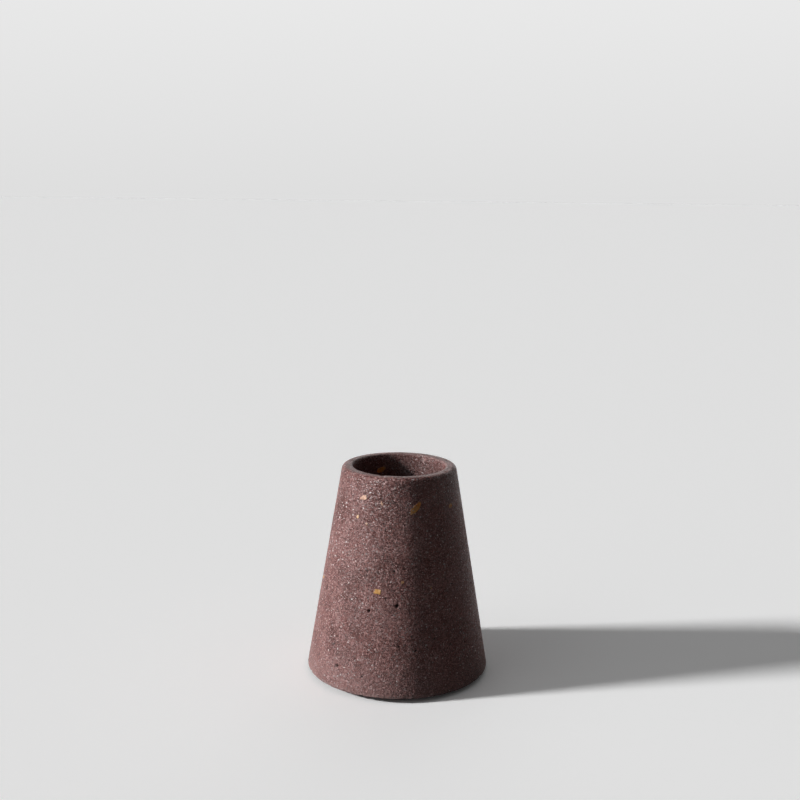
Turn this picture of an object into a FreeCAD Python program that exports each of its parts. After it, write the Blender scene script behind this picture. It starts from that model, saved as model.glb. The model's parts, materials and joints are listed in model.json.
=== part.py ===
import FreeCAD, Part
import os
import Sketcher

# A free-standing toothbrush holder: a tapered vessel cast in tinted cement, with a round well from
# above, coarse stone chips set flush in its walls and four rubber feet under its flat base.
# Frame: millimetres, +Z up, origin on the table under the middle of the base, front towards -Y.

# Driving sizes, in millimetres
SIZES = (
    # The cast vessel
    ("base_diameter", 65.0),
    ("rim_diameter", 40.2),
    ("body_height", 73.5),
    ("rim_wall", 3.9),
    ("floor_thickness", 10.5),
    ("rim_outer_round", 1.8),
    ("rim_inner_round", 0.9),
    ("well_floor_round", 4.0),
    ("base_edge_break", 0.6),
    # The stone chips: length and depth of the coarsest one, and what stood out of the wall before
    # it was dressed flush
    ("chip_length", 6.2),
    ("chip_depth", 2.6),
    ("chip_overrun", 1.0),
    # The feet
    ("foot_diameter", 9.0),
    ("foot_height", 1.5),
    ("foot_edge_break", 0.4),
    ("foot_circle_diameter", 44.0),
)

# Lengths that follow from the driving sizes
BASE_RADIUS = "Sizes.base_diameter / 2"
RIM_RADIUS = "Sizes.rim_diameter / 2"
WELL_RADIUS = "(Sizes.rim_diameter / 2 - Sizes.rim_wall)"
TAPER = "(Sizes.base_diameter / 2 - Sizes.rim_diameter / 2)"
RIM_LEVEL = "(Sizes.foot_height + Sizes.body_height)"
WELL_FLOOR_LEVEL = "(Sizes.foot_height + Sizes.floor_thickness)"
WELL_DEPTH = "(Sizes.body_height - Sizes.floor_thickness)"

# How much of the rim's wall its two rounded edges may take at most
OUTER_ROUND_LIMIT_SHARE = 0.6
INNER_ROUND_LIMIT_SHARE = 0.3

# How much of a chip's width is broken back all round its buried end
BROKEN_EDGE_SHARE = 0.14

# Outlines of the broken stones, as shares of a chip's own length and width about its middle
OUTLINE_SHARES = {
    "shard": ((-0.5, -0.1), (-0.3, -0.46), (0.12, -0.5), (0.5, 0.12), (0.34, 0.46), (-0.24, 0.5)),
    "block": ((-0.5, -0.4), (0.44, -0.5), (0.5, 0.36), (0.34, 0.5), (-0.3, 0.46)),
    "wedge": ((-0.5, -0.36), (0.06, -0.5), (0.5, -0.4), (0.44, 0.5), (0.04, 0.4), (-0.44, 0.06)),
    "flake": ((-0.5, -0.18), (-0.04, -0.5), (0.5, -0.26), (0.36, 0.44), (-0.24, 0.5)),
    "sliver": ((-0.5, 0.06), (-0.08, -0.5), (0.5, -0.1), (0.16, 0.5)),
}

# Chips in the outer wall. After the name and the outline come shares: of a full turn about the axis
# (0 is +X, 0.75 the front), of the wall's height, of the coarsest chip's length for this chip's own
# length and width, and of a full turn for its slant on the wall.
OUTER_CHIP_SHARES = (
    ("amber_chip_1", "shard", 0.793, 0.863, 1.0, 0.34, 0.114),
    ("amber_chip_2", "flake", 0.759, 0.531, 0.2, 0.16, 0.06),
    ("amber_chip_3", "sliver", 0.82, 0.496, 0.2, 0.1, 0.25),
    ("amber_chip_4", "flake", 0.899, 0.846, 0.4, 0.24, 0.04),
    ("amber_chip_5", "block", 0.085, 0.412, 0.5, 0.3, 0.07),
    ("amber_chip_6", "shard", 0.262, 0.655, 0.76, 0.3, 0.91),
    ("amber_chip_7", "sliver", 0.424, 0.282, 0.34, 0.14, 0.18),
    ("ochre_chip_1", "block", 0.707, 0.484, 0.46, 0.28, 0.99),
    ("ochre_chip_2", "flake", 0.644, 0.807, 0.23, 0.17, 0.2),
    ("ochre_chip_3", "wedge", 0.53, 0.455, 0.36, 0.17, 0.03),
    ("ochre_chip_4", "flake", 0.164, 0.79, 0.42, 0.26, 0.86),
    ("ochre_chip_5", "block", 0.361, 0.468, 0.48, 0.25, 0.12),
    ("ochre_chip_6", "wedge", 0.021, 0.17, 0.3, 0.2, 0.3),
    ("peach_chip_1", "wedge", 0.654, 0.899, 0.5, 0.28, 0.02),
    ("peach_chip_2", "sliver", 0.707, 0.882, 0.28, 0.12, 0.3),
    ("peach_chip_3", "flake", 0.671, 0.783, 0.2, 0.13, 0.92),
    ("peach_chip_4", "wedge", 0.214, 0.236, 0.46, 0.27, 0.45),
    ("peach_chip_5", "flake", 0.463, 0.845, 0.36, 0.25, 0.14),
)

# Chips in the wall of the well, in the same order, with the height as a share of the well's depth
WELL_CHIP_SHARES = (
    ("amber_chip_8", "shard", 0.317, 0.906, 0.7, 0.34, 0.04),
    ("ochre_chip_7", "flake", 0.86, 0.73, 0.4, 0.26, 0.1),
)

# The feet stand evenly round their circle, in this order from +X towards +Y
FOOT_NAMES = (
    "rubber_foot_back_right",
    "rubber_foot_back_left",
    "rubber_foot_front_left",
    "rubber_foot_front_right",
)
FIRST_FOOT_STEP_SHARE = 0.5

FULL_TURN_DEGREES = 360
HALF_TURN_DEGREES = 180


def make_sheet(doc):
    """Keep every driving size in a sheet, under its own name."""
    sheet = doc.addObject("Spreadsheet::Sheet", "Sizes")
    for row, (name, size) in enumerate(SIZES, start=1):
        sheet.set(f"A{row}", name)
        sheet.set(f"B{row}", str(size))
        sheet.setAlias(f"B{row}", name)
    doc.recompute()


def new_sketch(body, name, role):
    """A sketch on one of the body's own origin planes."""
    plane = next(item for item in body.Origin.OriginFeatures if item.Role == role)
    sketch = body.newObject("Sketcher::SketchObject", name)
    sketch.AttachmentSupport = [(plane, "")]
    sketch.MapMode = "FlatFace"
    return sketch


def draw_outline(sketch, corners):
    """A closed outline through corners, each held by two distances from the sketch's origin."""
    points = []
    for across, up in corners:
        points.append(FreeCAD.Vector(sketch.evalExpression(across), sketch.evalExpression(up), 0))
    count = len(points)
    for index, point in enumerate(points):
        sketch.addGeometry(Part.LineSegment(point, points[(index + 1) % count]))
    for index in range(count):
        following = (index + 1) % count
        sketch.addConstraint(Sketcher.Constraint("Coincident", index, 2, following, 1))
    for index, (across, up) in enumerate(corners):
        hold_corner(sketch, index, "DistanceX", across, points[index].x)
        hold_corner(sketch, index, "DistanceY", up, points[index].y)


def hold_corner(sketch, index, kind, expression, distance):
    """Tie the start of one line to the sketch's origin by a bound distance, or to the axis at zero."""
    if expression == "0":
        axis = -2 if kind == "DistanceX" else -1
        sketch.addConstraint(Sketcher.Constraint("PointOnObject", index, 1, axis))
        return
    number = sketch.addConstraint(Sketcher.Constraint(kind, -1, 1, index, 1, distance))
    sketch.setExpression(f"Constraints[{number}]", expression)


def circle_edge(feature, radius, level):
    """The name of the feature's circular edge of one radius and level."""
    wanted_radius = feature.evalExpression(radius)
    wanted_level = feature.evalExpression(level)
    for number, edge in enumerate(feature.Shape.Edges, start=1):
        if not isinstance(edge.Curve, Part.Circle):
            continue
        off_radius = abs(edge.Curve.Radius - wanted_radius)
        off_level = abs(edge.Curve.Center.z - wanted_level)
        if max(off_radius, off_level) < Part.Precision.approximation():
            return f"Edge{number}"
    raise RuntimeError(f"{feature.Name} has no such edge")


def round_edge(doc, body, name, radius, level, size):
    """Round a circular edge of the body's latest feature."""
    doc.recompute()
    base = body.Tip
    rounded = body.newObject("PartDesign::Fillet", name)
    rounded.Base = (base, [circle_edge(base, radius, level)])
    rounded.setExpression("Radius", size)


def break_edge(doc, body, name, radius, level, size):
    """Take a circular edge of the body's latest feature off with a small flat slope."""
    doc.recompute()
    base = body.Tip
    broken = body.newObject("PartDesign::Chamfer", name)
    broken.Base = (base, [circle_edge(base, radius, level)])
    broken.setExpression("Size", size)


def make_vessel(doc):
    """The vessel before its chips: half of its section, turned about the axis, then rounded."""
    body = doc.addObject("PartDesign::Body", "Vessel")
    sketch = new_sketch(body, "VesselSection", "XZ_Plane")
    draw_outline(sketch, (
        ("0", "Sizes.foot_height"),
        (BASE_RADIUS, "Sizes.foot_height"),
        (RIM_RADIUS, RIM_LEVEL),
        (WELL_RADIUS, RIM_LEVEL),
        (WELL_RADIUS, WELL_FLOOR_LEVEL),
        ("0", WELL_FLOOR_LEVEL),
    ))
    turned = body.newObject("PartDesign::Revolution", "VesselTurned")
    turned.Profile = sketch
    turned.ReferenceAxis = (sketch, ["V_Axis"])
    turned.Angle = FULL_TURN_DEGREES
    outer_round = f"min(Sizes.rim_outer_round; Sizes.rim_wall * {OUTER_ROUND_LIMIT_SHARE})"
    inner_round = f"min(Sizes.rim_inner_round; Sizes.rim_wall * {INNER_ROUND_LIMIT_SHARE})"
    round_edge(doc, body, "RimOuterRound", RIM_RADIUS, RIM_LEVEL, outer_round)
    round_edge(doc, body, "RimInnerRound", WELL_RADIUS, RIM_LEVEL, inner_round)
    round_edge(doc, body, "WellFloorRound", WELL_RADIUS, WELL_FLOOR_LEVEL, "Sizes.well_floor_round")
    break_edge(doc, body, "BaseEdgeBreak", BASE_RADIUS, "Sizes.foot_height", "Sizes.base_edge_break")
    return body


def innermost_face(feature):
    """The name of the feature's face that lies furthest along its own -X."""
    depths = [face.CenterOfMass.x for face in feature.Shape.Faces]
    return f"Face{depths.index(min(depths)) + 1}"


def make_stone(doc, name, outline, length_share, width_share):
    """A broken stone before dressing: its outline drawn out past the wall and into it."""
    body = doc.addObject("PartDesign::Body", f"{name}_stone")
    sketch = new_sketch(body, f"{name}_outline", "YZ_Plane")
    corners = []
    for across_share, up_share in OUTLINE_SHARES[outline]:
        across = f"Sizes.chip_length * {length_share * across_share}"
        up = f"Sizes.chip_length * {width_share * up_share}"
        corners.append((across, up))
    draw_outline(sketch, corners)
    pad = body.newObject("PartDesign::Pad", f"{name}_pad")
    pad.Profile = sketch
    pad.SideType = "Two sides"
    pad.setExpression("Length", "Sizes.chip_overrun")
    pad.setExpression("Length2", f"Sizes.chip_depth * {length_share}")
    doc.recompute()
    broken = body.newObject("PartDesign::Chamfer", f"{name}_buried_end")
    broken.Base = (pad, [innermost_face(pad)])
    broken.setExpression("Size", f"Sizes.chip_length * {width_share * BROKEN_EDGE_SHARE}")
    return body


def place_in_outer_wall(stone, turn_share, height_share, slant_share):
    """Lay the stone's outline on the tapered wall, its own X square to the wall."""
    turn = turn_share * FULL_TURN_DEGREES
    radius = f"({BASE_RADIUS} - {TAPER} * {height_share})"
    level = f"Sizes.foot_height + Sizes.body_height * {height_share}"
    place = f"vector({radius} * cos({turn} deg); {radius} * sin({turn} deg); {level})"
    lean = f"-atan({TAPER} / Sizes.body_height)"
    slant = slant_share * FULL_TURN_DEGREES
    stone.setExpression("Placement", f"placement({place}; rotation({turn}; {lean}; {slant}))")


def place_in_well(stone, turn_share, height_share, slant_share):
    """Lay the stone's outline on the upright wall of the well, facing the axis."""
    turn = turn_share * FULL_TURN_DEGREES
    level = f"{WELL_FLOOR_LEVEL} + {WELL_DEPTH} * {height_share}"
    place = f"vector({WELL_RADIUS} * cos({turn} deg); {WELL_RADIUS} * sin({turn} deg); {level})"
    slant = slant_share * FULL_TURN_DEGREES
    facing = turn + HALF_TURN_DEGREES
    stone.setExpression("Placement", f"placement({place}; rotation({facing}; 0; {slant}))")


def make_chips(doc, vessel):
    """Every chip as the part of its stone inside the vessel, so that it ends flush with the wall."""
    stones = []
    chips = []
    walls = ((OUTER_CHIP_SHARES, place_in_outer_wall), (WELL_CHIP_SHARES, place_in_well))
    for chip_shares, place_stone in walls:
        for name, outline, turn_share, height_share, length_share, width_share, slant_share in chip_shares:
            stone = make_stone(doc, name, outline, length_share, width_share)
            place_stone(stone, turn_share, height_share, slant_share)
            chip = doc.addObject("Part::Common", f"{name}_flush")
            chip.Base = vessel
            chip.Tool = stone
            chip.Label = name
            stones.append(stone)
            chips.append(chip)
    return stones, chips


def make_cast_body(doc, vessel, stones):
    """The vessel with a pocket where each chip sits."""
    pockets = doc.addObject("Part::Compound", "ChipPockets")
    pockets.Links = stones
    cast_body = doc.addObject("Part::Cut", "CastBody")
    cast_body.Base = vessel
    cast_body.Tool = pockets
    cast_body.Label = "cast_body"
    return cast_body


def make_foot(doc, name, turn_share):
    """A round rubber foot, flat on the base and on the table, with its lower edge broken."""
    body = doc.addObject("PartDesign::Body", f"{name}_body")
    body.Label = name
    sketch = new_sketch(body, f"{name}_outline", "XY_Plane")
    radius = "Sizes.foot_diameter / 2"
    drawn_radius = sketch.evalExpression(radius)
    sketch.addGeometry(Part.Circle(FreeCAD.Vector(), FreeCAD.Vector(0, 0, 1), drawn_radius))
    sketch.addConstraint(Sketcher.Constraint("Coincident", 0, 3, -1, 1))
    number = sketch.addConstraint(Sketcher.Constraint("Radius", 0, drawn_radius))
    sketch.setExpression(f"Constraints[{number}]", radius)
    pad = body.newObject("PartDesign::Pad", f"{name}_pad")
    pad.Profile = sketch
    pad.setExpression("Length", "Sizes.foot_height")
    break_edge(doc, body, f"{name}_edge_break", radius, "0", "Sizes.foot_edge_break")
    turn = turn_share * FULL_TURN_DEGREES
    reach = "Sizes.foot_circle_diameter / 2"
    place = f"vector({reach} * cos({turn} deg); {reach} * sin({turn} deg); 0)"
    body.setExpression("Placement", f"placement({place}; rotation({turn}; 0; 0))")
    return body


def check(doc, pieces):
    """Stop if anything failed to build, or a piece is not one sound solid."""
    for item in doc.Objects:
        if "Invalid" in item.State or "Error" in item.State:
            raise RuntimeError(f"{item.Name} failed: {item.State}")
    for piece in pieces:
        shape = piece.Shape
        if shape.isNull() or not shape.isValid() or len(shape.Solids) != 1:
            raise RuntimeError(f"{piece.Label} is not one sound solid")


def check_pockets(cast_body, chips):
    """Stop if a chip has no pocket: the middle of each chip has to lie outside the cast body."""
    for chip in chips:
        middle = chip.Shape.Solids[0].CenterOfMass
        if cast_body.Shape.isInside(middle, Part.Precision.confusion(), True):
            raise RuntimeError(f"{chip.Label} has no pocket")


def write(pieces):
    """One file for each piece, under its label."""
    os.makedirs("parts", exist_ok=True)
    for piece in pieces:
        piece.Shape.exportStep(f"parts/{piece.Label}.step")
        print(f"{piece.Label}: {piece.Shape.Volume:.2f} cubic mm")


def main():
    doc = FreeCAD.newDocument("ToothbrushHolder")
    make_sheet(doc)
    vessel = make_vessel(doc)
    stones, chips = make_chips(doc, vessel)
    cast_body = make_cast_body(doc, vessel, stones)
    feet = []
    for index, name in enumerate(FOOT_NAMES):
        turn_share = (index + FIRST_FOOT_STEP_SHARE) / len(FOOT_NAMES)
        feet.append(make_foot(doc, name, turn_share))
    doc.recompute()
    pieces = [cast_body, *chips, *feet]
    check(doc, pieces)
    check_pockets(cast_body, chips)
    write(pieces)


main()
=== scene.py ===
# %% [markdown]
# # A cast-stone toothbrush holder
# The real holder is a tapered cup, cast in one piece from red-brown cement with sand and broken
# stone in it, and it stands on four small rubber feet. The CAD model gives the exact solids. They
# could be shown as they are, but their faces are smooth and their edges clean. So this lesson dresses
# each of them with a finer surface and a finish, in metres, in the model's own frame.

# %% Load the CAD model
import json
import math

import bpy
import numpy as np
from mathutils import Matrix, Vector


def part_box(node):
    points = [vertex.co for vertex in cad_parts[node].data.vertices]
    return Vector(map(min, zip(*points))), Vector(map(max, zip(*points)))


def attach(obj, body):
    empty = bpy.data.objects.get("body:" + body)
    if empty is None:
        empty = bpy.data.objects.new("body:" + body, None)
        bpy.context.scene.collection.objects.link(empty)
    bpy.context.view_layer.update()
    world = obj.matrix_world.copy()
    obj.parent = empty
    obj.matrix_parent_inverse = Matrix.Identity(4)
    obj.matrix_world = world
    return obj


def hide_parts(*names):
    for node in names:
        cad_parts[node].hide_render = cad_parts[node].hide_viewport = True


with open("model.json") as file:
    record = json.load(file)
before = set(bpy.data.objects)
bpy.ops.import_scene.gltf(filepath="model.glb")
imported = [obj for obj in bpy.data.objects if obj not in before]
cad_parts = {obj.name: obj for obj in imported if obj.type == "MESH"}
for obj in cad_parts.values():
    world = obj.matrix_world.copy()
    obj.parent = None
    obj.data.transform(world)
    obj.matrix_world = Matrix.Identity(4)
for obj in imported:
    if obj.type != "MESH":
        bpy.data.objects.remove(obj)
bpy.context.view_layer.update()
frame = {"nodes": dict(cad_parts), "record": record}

MM = 0.001

# %% [markdown]
# ## The cup's section
# A cup like this comes out of a turned mould, so one section swung about the upright axis gives its
# whole surface. The section could be drawn as a list of points, but then its rounds would be fixed.
# Here it is walked instead: five straight runs, joined by four rounds, from the middle of the base
# out, up the wall, over the rim and down the well. Along a run the heading stays, along a round it
# turns evenly, and the running sum of the headings gives every point of the walk.

# %% Walk along the section
base_low, rim_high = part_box("cast_body")
well = next(mount for mount in frame["record"]["mounts"] if mount["name"] == "brush_well")
BASE_RADIUS = 32.5 * MM
RIM_RADIUS = 20.1 * MM
WELL_RADIUS = well["dims"]["r_mm"] * MM
WELL_FLOOR = 12.0 * MM
CORNERS = np.array([
    (0.0, base_low.z),
    (BASE_RADIUS, base_low.z),
    (RIM_RADIUS, rim_high.z),
    (WELL_RADIUS, rim_high.z),
    (WELL_RADIUS, WELL_FLOOR),
    (0.0, WELL_FLOOR),
])
LOWER_EDGE_ROUND = 0.5 * MM
RIM_OUTER_ROUND = 1.8 * MM
RIM_INNER_ROUND = 0.9 * MM
WELL_FLOOR_ROUND = 4.0 * MM
ROUNDS = np.array([LOWER_EDGE_ROUND, RIM_OUTER_ROUND, RIM_INNER_ROUND, WELL_FLOOR_ROUND])
WALK_STEPS = 12000


def walk_section(corners, rounds):
    """Distances and headings at the ends of each run and round. A round of radius r that turns by
    the angle t cuts r * tan(t / 2) off the runs on both sides, and is r * t long itself."""
    legs = np.diff(corners, axis=0)
    headings = np.unwrap(np.arctan2(legs[:, 1], legs[:, 0]))
    turns = np.abs(np.diff(headings))
    cuts = rounds * np.tan(turns / 2)
    runs = np.linalg.norm(legs, axis=1)
    runs[:-1] -= cuts
    runs[1:] -= cuts
    lengths = np.zeros(2 * len(runs) - 1)
    lengths[0::2] = runs
    lengths[1::2] = rounds * turns
    marks = np.concatenate([[0.0], np.cumsum(lengths)])
    return marks, np.repeat(headings, 2)


MARKS, MARK_HEADINGS = walk_section(CORNERS, ROUNDS)
EDGE_START, WALL_FOOT, WALL_TOP, RIM_OUTSIDE, RIM_INSIDE, WELL_TOP = MARKS[1:7]
WALK = np.linspace(0.0, MARKS[-1], WALK_STEPS)
WALK_HEADING = np.interp(WALK, MARKS, MARK_HEADINGS)


def running_sum(rate):
    """The area under a rate along the walk, by the trapezium rule, from nothing at its start."""
    steps = np.diff(WALK) * (rate[:-1] + rate[1:]) / 2
    return np.concatenate([[0.0], np.cumsum(steps)])


WALK_RADIUS = running_sum(np.cos(WALK_HEADING))
WALK_HEIGHT = base_low.z + running_sum(np.sin(WALK_HEADING))
print(f"the section is {MARKS[-1] / MM:.1f} mm long and closes to {WALK_RADIUS[-1] / MM:.4f} mm")

# %% [markdown]
# ## From the section to the surface
# Every point of the cup's surface has two parameters: the turn about the axis and the way along the
# section. A third number, the lift, moves it along the surface's own outward direction. The Screw
# modifier could swing the section as well, but then nothing could be placed by these numbers. Worked
# out by a function, the same three serve the pinholes, the worn places and the stones in the wall.

# %% Map the cup's parameters to points


def cup_points(turn, way, lift):
    """Swing the section's point at `way`, moved out by `lift`, through the angle `turn` about Z.
    A heading h has the outward direction (sin h, -cos h) in the plane of radius and height."""
    heading = np.interp(way, WALK, WALK_HEADING)
    radius = np.interp(way, WALK, WALK_RADIUS) + lift * np.sin(heading)
    height = np.interp(way, WALK, WALK_HEIGHT) - lift * np.cos(heading)
    return np.stack([radius * np.cos(turn), radius * np.sin(turn), height], axis=-1)


rim_point = cup_points(0.0, RIM_OUTSIDE, 0.0)
print("the flat of the rim begins at", np.round(rim_point / MM, 2), "mm")

# %% [markdown]
# ## Pinholes
# Cement keeps small air bubbles against the mould, and they show as black pinholes. A painted dot
# would vanish from the side, so each is a real hollow, and the shade at its bottom is painted near
# black as well. The list gives those that are seen on the front, and chance adds more round the back
# at the same spacing.

# %% List the pinholes
chance = np.random.default_rng(75)
on_wall = (WALK >= WALL_FOOT) & (WALK <= WALL_TOP)


def wall_way(height_share):
    """Way along the section to a point of the outer wall at that share of the cup's height."""
    height = base_low.z + height_share * (rim_high.z - base_low.z)
    return np.interp(height, WALK_HEIGHT[on_wall], WALK[on_wall])


# Each has its bearing in degrees, its share of the cup's height and its width in mm
SEEN_PINHOLES = np.array([
    (-90.5, 0.424, 0.95), (-131.5, 0.109, 1.1), (-77.7, 0.219, 0.6), (-110.7, 0.392, 0.72),
    (-113.7, 0.569, 0.62), (-98.5, 0.455, 0.5), (-112.1, 0.089, 0.5), (-93.1, 0.579, 0.42),
    (-88.9, 0.243, 0.5), (-85.0, 0.591, 0.4), (-45.4, 0.494, 0.5), (-39.0, 0.208, 0.6),
    (-64.3, 0.263, 0.45), (-138.0, 0.36, 0.5), (-137.0, 0.2, 0.55),
])
BACK_PINHOLES = 26
BACK_BEARINGS = (-20.0, 205.0)
BACK_HEIGHT_SHARES = (0.05, 0.95)
BACK_WIDTHS = (0.4, 0.85)
back_pinholes = np.stack([
    chance.uniform(*limits, BACK_PINHOLES)
    for limits in (BACK_BEARINGS, BACK_HEIGHT_SHARES, BACK_WIDTHS)
], axis=-1)
pinholes = np.concatenate([SEEN_PINHOLES, back_pinholes])
print(len(pinholes), "pinholes,", BACK_PINHOLES, "of them placed by chance")

# %% [markdown]
# ## Nicks
# The rim and the lower edge of a cast cup lose a crumb here and there. Cutting each one out with a
# Boolean modifier would be slow and could break the mesh. So they are hollows like the pinholes, only
# wider and shallower, and chance places them.

# %% Add the nicks to the hollows
RIM_NICKS = 22
EDGE_NICKS = 34
NICKS = RIM_NICKS + EDGE_NICKS
RIM_NICK_MARGIN = 0.5 * MM
EDGE_NICK_MARGIN = 0.3 * MM
NICK_WIDTHS = (0.8, 2.2)
NICK_DEPTHS = (0.05, 0.22)
PINHOLE_OPENING = 0.85
PINHOLE_DEPTH = 1.2
rim_ways = chance.uniform(WALL_TOP - RIM_NICK_MARGIN, WELL_TOP, RIM_NICKS)
edge_ways = chance.uniform(EDGE_START, WALL_FOOT + EDGE_NICK_MARGIN, EDGE_NICKS)
nick_turns = chance.uniform(-math.pi, math.pi, NICKS)
nick_widths = chance.uniform(*NICK_WIDTHS, NICKS)
nick_depths = chance.uniform(*NICK_DEPTHS, NICKS)
HOLLOW_TURNS = np.concatenate([np.radians(pinholes[:, 0]), nick_turns])
HOLLOW_WAYS = np.concatenate([wall_way(pinholes[:, 1]), rim_ways, edge_ways])
HOLLOW_WIDTHS = np.concatenate([PINHOLE_OPENING * pinholes[:, 2], nick_widths]) * MM
HOLLOW_DEPTHS = np.concatenate([PINHOLE_DEPTH * pinholes[:, 2], nick_depths]) * MM
HOLLOW_RADII = np.interp(HOLLOW_WAYS, WALK, WALK_RADIUS)
print(len(HOLLOW_TURNS), "hollows in the cast surface,", len(pinholes), "of them pinholes")

# %% [markdown]
# ## The grid
# The cup's mesh is a grid of rings. One fine enough for a pinhole everywhere would be far too heavy.
# So an even grid is drawn together round each hollow, as by a lens, and is coarser only where the
# surface is plain. Every other ring is turned by half a step, so that no seam runs straight up.

# %% Lay out the grid
COLUMNS = 366
# Rings on each run and round of the section, from the middle of the base to the floor of the well
ROW_COUNTS = (10, 6, 172, 12, 4, 8, 44, 8, 7)
even_ways = np.concatenate([
    np.linspace(start, end, count, endpoint=False)
    for start, end, count in zip(MARKS[:-1], MARKS[1:], ROW_COUNTS)
])[1:]
even_turns = np.linspace(-math.pi, math.pi, COLUMNS, endpoint=False)
grid_turns, grid_ways = np.meshgrid(even_turns, even_ways)
HALF_STEP = math.pi / COLUMNS
odd_ring = np.arange(len(even_ways))[:, None] % 2
grid_turns = grid_turns + HALF_STEP * odd_ring
LENS_PULL = 0.84
LENS_REACH = 2.8
FIRST_WAY = 0.2 * even_ways[0]
LAST_WAY = MARKS[-1] - 0.1 * MM


def wrapped(angle):
    """The same angle between minus and plus half a turn."""
    return (angle + math.pi) % (2 * math.pi) - math.pi


def hollow_offsets(turns, ways, index):
    """Sideways and lengthways distance of each grid point from the middle of one hollow: the angle
    between them times the radius there, and the difference of their ways."""
    across = wrapped(turns - HOLLOW_TURNS[index]) * HOLLOW_RADII[index]
    return across, ways - HOLLOW_WAYS[index]


def drawn_together(turns, ways):
    """Move each grid point towards a hollow's middle by the share LENS_PULL * exp(-(d / w)^2) of its
    distance d, with w as LENS_REACH times the hollow's half width."""
    moved_turns = turns.copy()
    moved_ways = ways.copy()
    for index, width in enumerate(HOLLOW_WIDTHS):
        across, along = hollow_offsets(turns, ways, index)
        reach = LENS_REACH * width / 2
        pull = LENS_PULL * np.exp(-(across**2 + along**2) / reach**2)
        moved_turns -= pull * across / HOLLOW_RADII[index]
        moved_ways -= pull * along
    return moved_turns, np.clip(moved_ways, FIRST_WAY, LAST_WAY)


cup_turns, cup_ways = drawn_together(grid_turns, grid_ways)
print(f"the grid has {len(even_ways)} rings of {COLUMNS} points")

# %% [markdown]
# ## Depth of the hollows
# A burst bubble has a ragged edge, steep sides and a flat bottom in deep shade. It could be sculpted
# by hand, but not the same way twice. Here the depth follows from the distance to the hollow's middle,
# and two sine waves round it make the edge uneven. The pinholes' shade is painted on, near black, with
# its own, slightly wider step.

# %% Dig the hollows
OVAL_SHARE = 0.16
CORNER_SHARE = 0.09
FLAT_BOTTOM = 0.7
SHADE_EDGE = (0.85, 1.15)


def smooth_step(low, high, value):
    """Nought below `low`, one above `high`, and 3 t^2 - 2 t^3 between them."""
    share = np.clip((value - low) / (high - low), 0.0, 1.0)
    return share * share * (3 - 2 * share)


def hollow_depths(turns, ways):
    """Depth of the hollows and the shade painted into the pinholes. A hollow falls from its uneven edge,
    where the distance over the half width is one, to its full depth at the share FLAT_BOTTOM of that."""
    depth = np.zeros_like(turns)
    painted_hole_shade = np.zeros_like(turns)
    for index, width in enumerate(HOLLOW_WIDTHS):
        across, along = hollow_offsets(turns, ways, index)
        bearing = np.arctan2(along, across)
        oval = OVAL_SHARE * np.sin(2 * bearing + index)
        edge = 1 + oval + CORNER_SHARE * np.sin(3 * bearing + 2 * index)
        distance = np.hypot(across, along) / (edge * width / 2)
        depth = np.maximum(depth, HOLLOW_DEPTHS[index] * (1 - smooth_step(FLAT_BOTTOM, 1.0, distance)))
        if index < len(pinholes):
            painted_hole_shade = np.maximum(painted_hole_shade, 1 - smooth_step(*SHADE_EDGE, distance))
    return depth, painted_hole_shade


hollow_depth, hollow_shade = hollow_depths(cup_turns, cup_ways)
print(f"the deepest hollow is {hollow_depth.max() / MM:.2f} mm deep")

# %% [markdown]
# ## Unevenness and grit
# A hand-filled mould leaves the surface slowly uneven, and the sand makes it gritty. A bump in the
# finish could show both, but it bends only the shading. Here the points themselves move, so that the
# outline and the mesh itself have it too. All of it goes inwards, because the outside of the mould
# is the size that the CAD model has.

# %% Roughen the surface
MEAN_RELIEF = 0.10 * MM
LEAST_RELIEF = 0.005 * MM
UNEVENNESS = 0.007 * MM
GRIT = 0.016 * MM
WAVES = 14
MOST_ROUNDS = 14
WAVE_LENGTHS = (9.0, 60.0)


def slow_unevenness(turns, ways):
    """A sum of sine waves that run round and along the cup, each a whole number of times round."""
    rounds = chance.integers(1, MOST_ROUNDS + 1, WAVES)
    lengths = chance.uniform(*WAVE_LENGTHS, WAVES) * MM
    phases = chance.uniform(0.0, 2 * math.pi, WAVES)
    total = np.zeros_like(turns)
    for count, length, phase in zip(rounds, lengths, phases):
        total += np.sin(count * turns + 2 * math.pi * ways / length + phase)
    return total / math.sqrt(WAVES)


relief = MEAN_RELIEF + UNEVENNESS * slow_unevenness(cup_turns, cup_ways)
relief = relief + GRIT * chance.standard_normal(cup_turns.shape)
cup_lift = -np.maximum(relief, LEAST_RELIEF) - hollow_depth
print(f"the relief goes down to {-cup_lift.min() / MM:.2f} mm")

# %% [markdown]
# ## Marks of use
# On a cup in use the rim is worn grey, its inner lip and the lower edge are rubbed pale, dust clings
# low on the wall, hands polish the top, and the well stays damp. Three marks also paint light: the
# pale inner lip is partly a painted highlight where its round catches the lamp, the pale foot of the
# wall partly painted light bounced up from the floor, and the dark well partly painted shade. A
# painted picture could show all of this, but it would need the surface laid flat. Here each mark is a
# number on every point, worked out from the way along the section, and the finish reads it later.

# %% Mark where the cup is used
WEAR_BEFORE_RIM = 1.0 * MM
WEAR_FULL = 0.2 * MM
LIP_RUB_AND_HIGHLIGHT = 0.8 * MM
EDGE_RUB = 0.9 * MM
DAMP_AND_SHADE_BELOW_LIP = 3.0 * MM
DUST_AND_BOUNCE_HEIGHT = 16.0 * MM
HANDLED_FROM = 20.0 * MM
HANDLED_FULL = 3.0 * MM


def band(middle, half_width):
    """One at that way along the section, and less on both sides, down to nought at the half width."""
    return 1 - smooth_step(0.0, half_width, np.abs(cup_ways - middle))


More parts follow.
